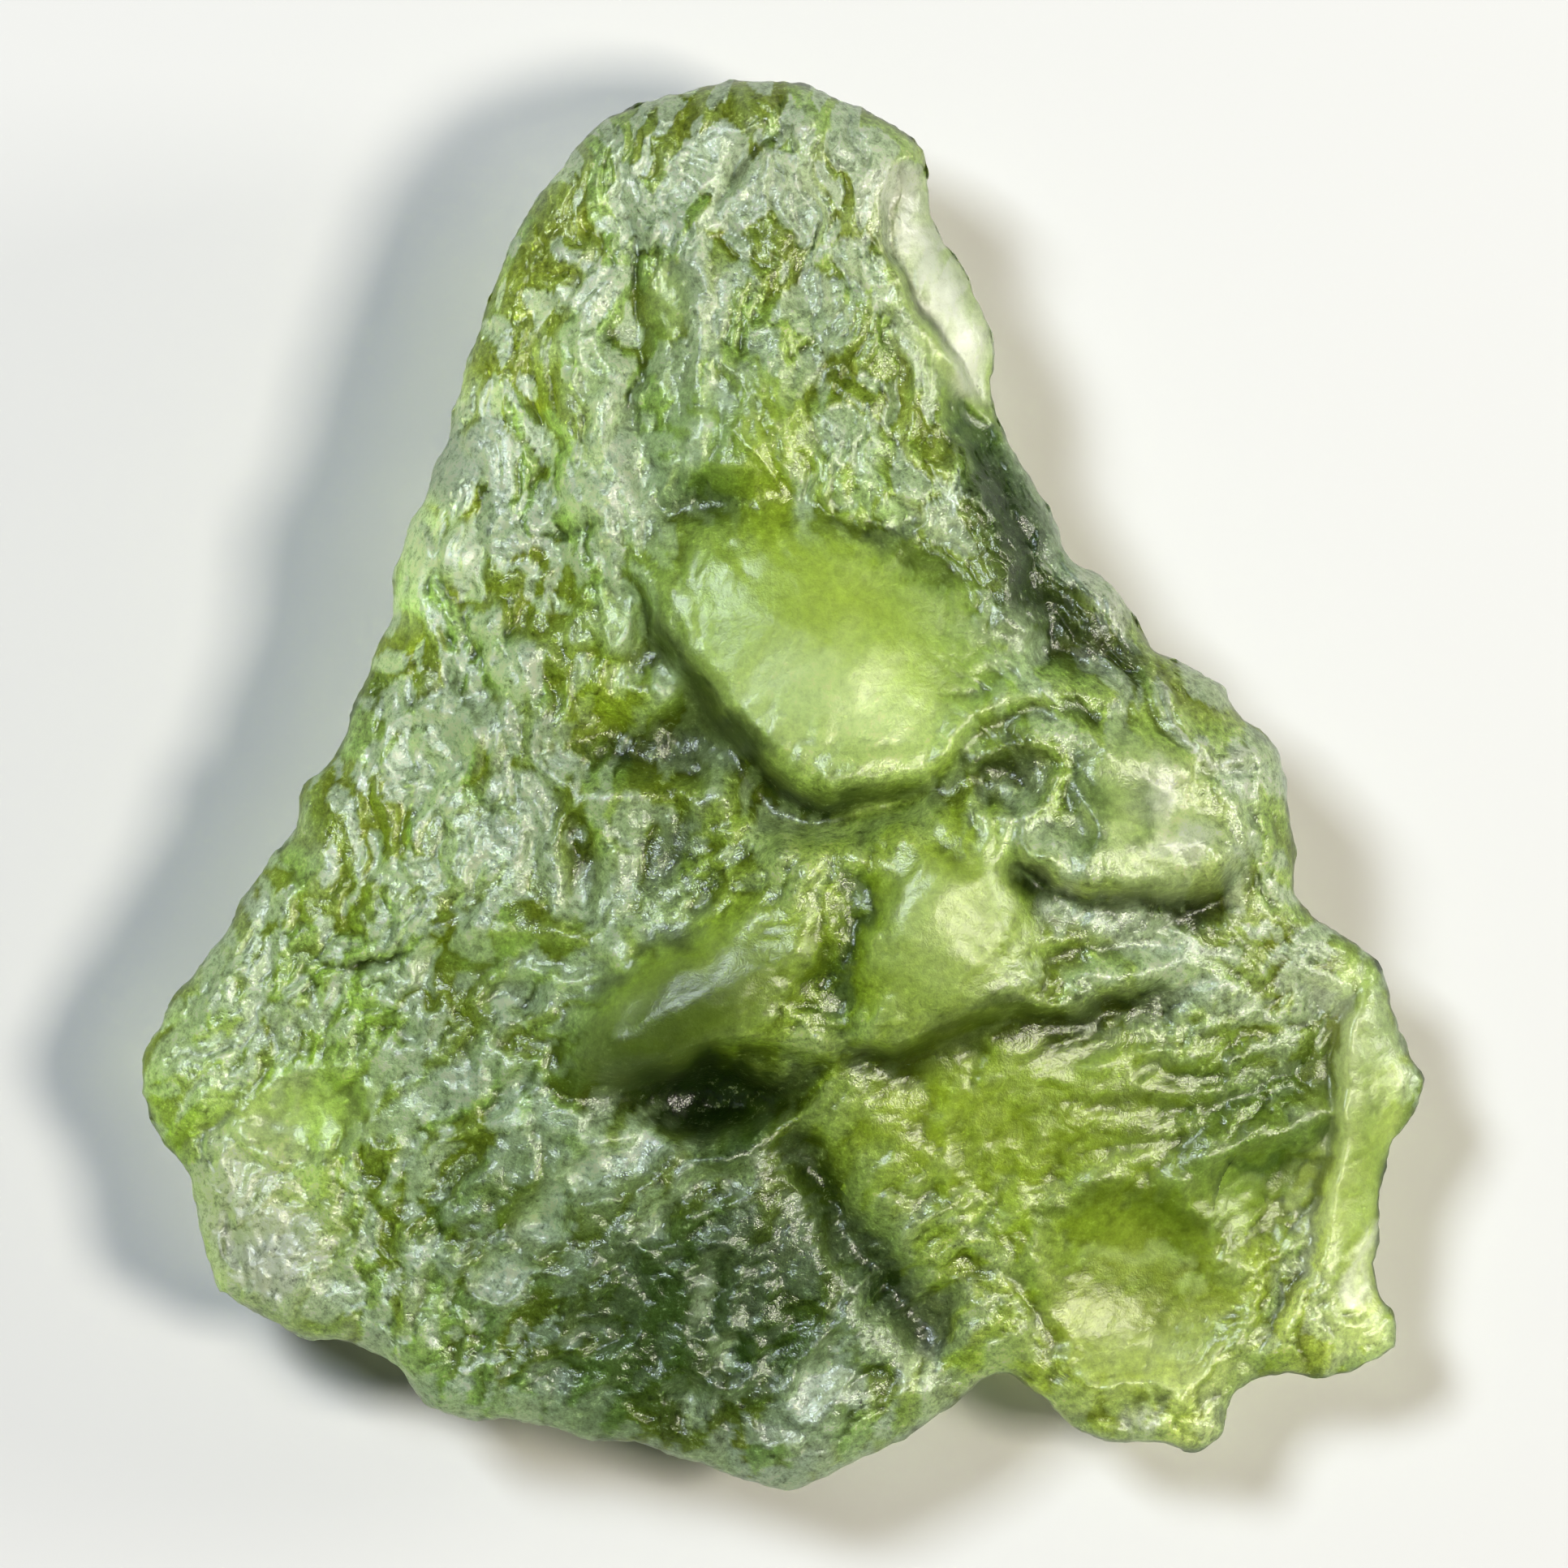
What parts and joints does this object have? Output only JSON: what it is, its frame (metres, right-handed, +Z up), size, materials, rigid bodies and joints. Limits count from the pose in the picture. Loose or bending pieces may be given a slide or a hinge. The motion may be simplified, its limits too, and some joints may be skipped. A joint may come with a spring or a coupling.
{
  "type": "moldavite",
  "caption": "Natural piece of clear green tektite glass, a rough three-sided flake with etched lumps, ledges and pits, lying on its flatter back",
  "frame": {"origin": "on the table, under the middle of the stone's box", "axes": "+Y along the stone towards its narrow end, which is up in the picture; +X to the right of the picture; +Z up, out of the face that the picture shows"},
  "size_m": [0.0292, 0.032, 0.009],
  "materials": {
    "moldavite_glass": "natural tektite glass, clear olive green, glossy on its smooth lumps and finely etched elsewhere"
  },
  "bodies": {
    "root": {"moldavite": "moldavite_glass"}
  },
  "joints": []
}
